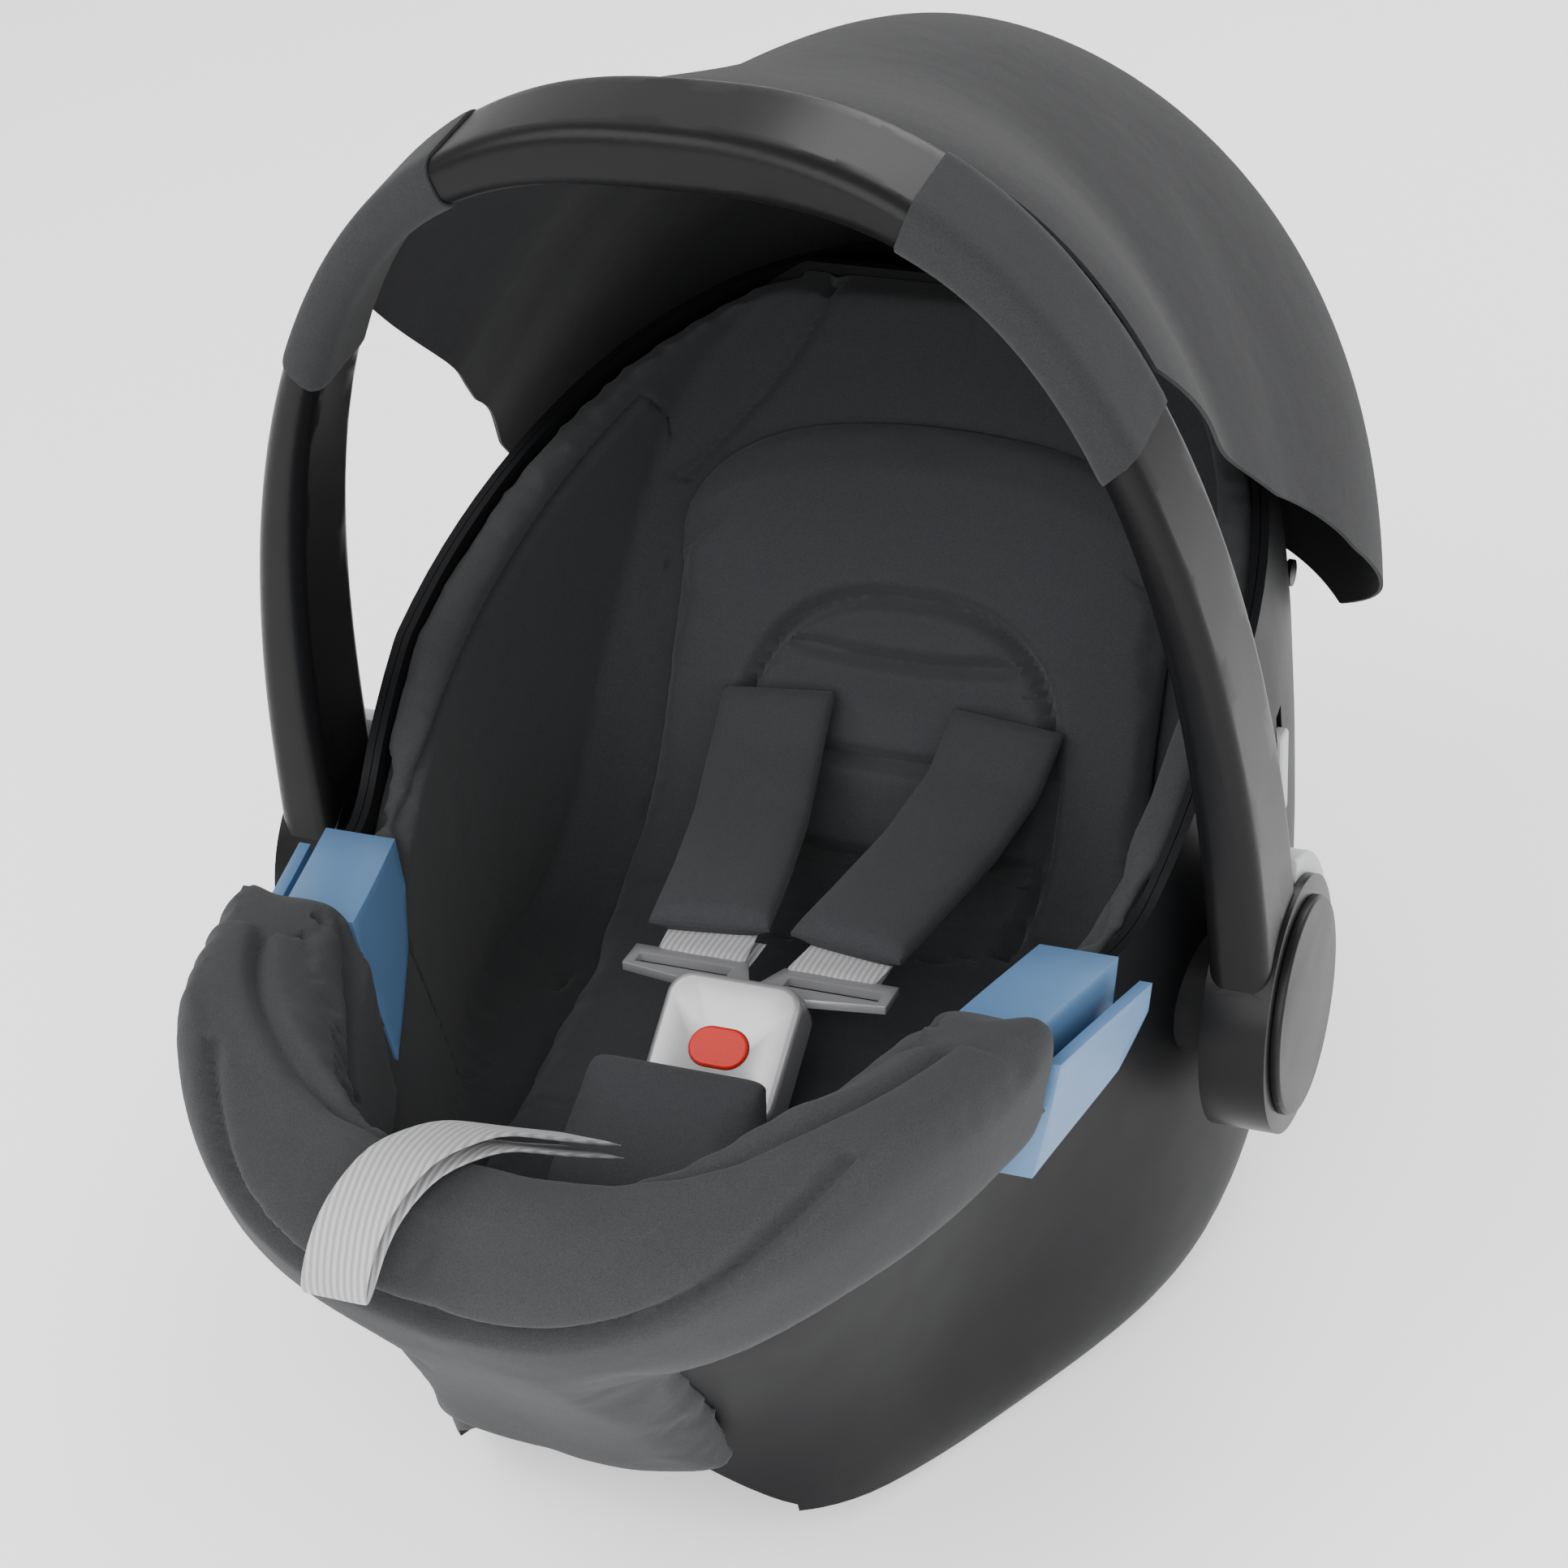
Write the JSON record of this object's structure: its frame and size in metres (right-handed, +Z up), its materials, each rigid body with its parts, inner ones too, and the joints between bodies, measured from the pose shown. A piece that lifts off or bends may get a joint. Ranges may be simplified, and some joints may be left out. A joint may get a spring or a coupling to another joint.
{
  "type": "infant car seat",
  "caption": "Rocker-shell infant carrier seat with padded tub, harness and buckle, belt guides, folding arch handle with hub buttons, and fabric canopy.",
  "frame": {"origin": "centre of the whole box in X and Y, on the floor that the runners stand on", "axes": "+X is the seat's left-to-right width, +Y points to the head end, +Z is up"},
  "size_m": [0.436, 0.6455, 0.542],
  "materials": {
    "shell_plastic": "satin",
    "bucket_plastic": "matte",
    "foam": "matte foam",
    "cover_fabric": "matte weave",
    "insert_fabric": "soft matte",
    "handle_plastic": "satin",
    "cap_plastic": "satin",
    "grey_plastic": "satin",
    "guide_blue": "satin",
    "webbing": "woven",
    "buckle_chrome": "polished",
    "red_button": "gloss",
    "steel": "brushed",
    "canopy_fabric": "matte weave",
    "cord": "matte",
    "dark_trim": "satin"
  },
  "bodies": {
    "shell": {"outer_shell": "shell_plastic", "shell_screws": "steel", "latch_bar_front": "steel", "latch_bar_rear": "steel", "harness_yoke": "steel", "crotch_anchor": "steel", "pivot_pin_right": "steel", "pivot_pin_left": "steel", "buckle_spring": "steel", "adjuster_spring": "steel", "seat_bucket": "bucket_plastic", "lock_ring_right": "bucket_plastic", "lock_ring_left": "bucket_plastic", "foam_liner": "foam", "seat_cover": "cover_fabric", "rim_bolster": "cover_fabric", "shoulder_pad_right": "cover_fabric", "shoulder_pad_left": "cover_fabric", "crotch_pad": "cover_fabric", "newborn_insert": "insert_fabric", "belt_guide_right": "guide_blue", "belt_guide_left": "guide_blue", "shoulder_strap_right": "webbing", "shoulder_strap_left": "webbing", "crotch_strap": "webbing", "pull_strap": "webbing", "buckle_body": "buckle_chrome", "tongue_right": "buckle_chrome", "tongue_left": "buckle_chrome", "adjuster_housing": "dark_trim", "canopy_snap_right": "dark_trim", "canopy_snap_left": "dark_trim", "canopy": "canopy_fabric", "elastic_loop": "cord"},
    "handle": {"handle": "handle_plastic", "hub_cap_right": "cap_plastic", "hub_cap_left": "cap_plastic", "canopy_sleeve_right": "canopy_fabric", "canopy_sleeve_left": "canopy_fabric", "handle_spring_right": "steel", "handle_spring_left": "steel"},
    "handle_button_right": {"handle_button_right": "grey_plastic"},
    "handle_button_left": {"handle_button_left": "grey_plastic"},
    "buckle_button": {"buckle_button": "red_button"},
    "adjuster_button": {"adjuster_button": "dark_trim"},
    "release_lever_right": {"release_lever_right": "grey_plastic"},
    "release_lever_left": {"release_lever_left": "grey_plastic"}
  },
  "joints": [
    {"name": "handle_fold", "type": "hinge", "parent": "shell", "child": "handle", "pos_m": [0, -0.01102, 0.165], "axis": [-1, 0, 0], "range_deg": [0, 100], "deforming": ["canopy"]},
    {"name": "handle_button_right_press", "type": "slide", "parent": "handle", "child": "handle_button_right", "axis": [0, -0.7071, -0.7071], "range_m": [0, 0.004], "stiffness_N_per_m": 700, "springref_m": -0.004, "deforming": ["handle_spring_right"]},
    {"name": "handle_button_left_press", "type": "slide", "parent": "handle", "child": "handle_button_left", "axis": [0, -0.7071, -0.7071], "range_m": [0, 0.004], "stiffness_N_per_m": 700, "springref_m": -0.004, "deforming": ["handle_spring_left"]},
    {"name": "buckle_button_press", "type": "slide", "parent": "shell", "child": "buckle_button", "axis": [0, 0.6018, -0.7986], "range_m": [0, 0.003], "stiffness_N_per_m": 900, "springref_m": -0.004, "deforming": ["buckle_spring"]},
    {"name": "adjuster_button_press", "type": "slide", "parent": "shell", "child": "adjuster_button", "axis": [0, -0.7756, -0.6313], "range_m": [0, 0.003], "stiffness_N_per_m": 700, "springref_m": -0.004, "deforming": ["adjuster_spring"]},
    {"name": "release_lever_right_pull", "type": "slide", "parent": "shell", "child": "release_lever_right", "axis": [0, 0, 1], "range_m": [0, 0.008], "stiffness_N_per_m": 300, "springref_m": -0.005},
    {"name": "release_lever_left_pull", "type": "slide", "parent": "shell", "child": "release_lever_left", "axis": [0, 0, 1], "range_m": [0, 0.008], "stiffness_N_per_m": 300, "springref_m": -0.005}
  ]
}
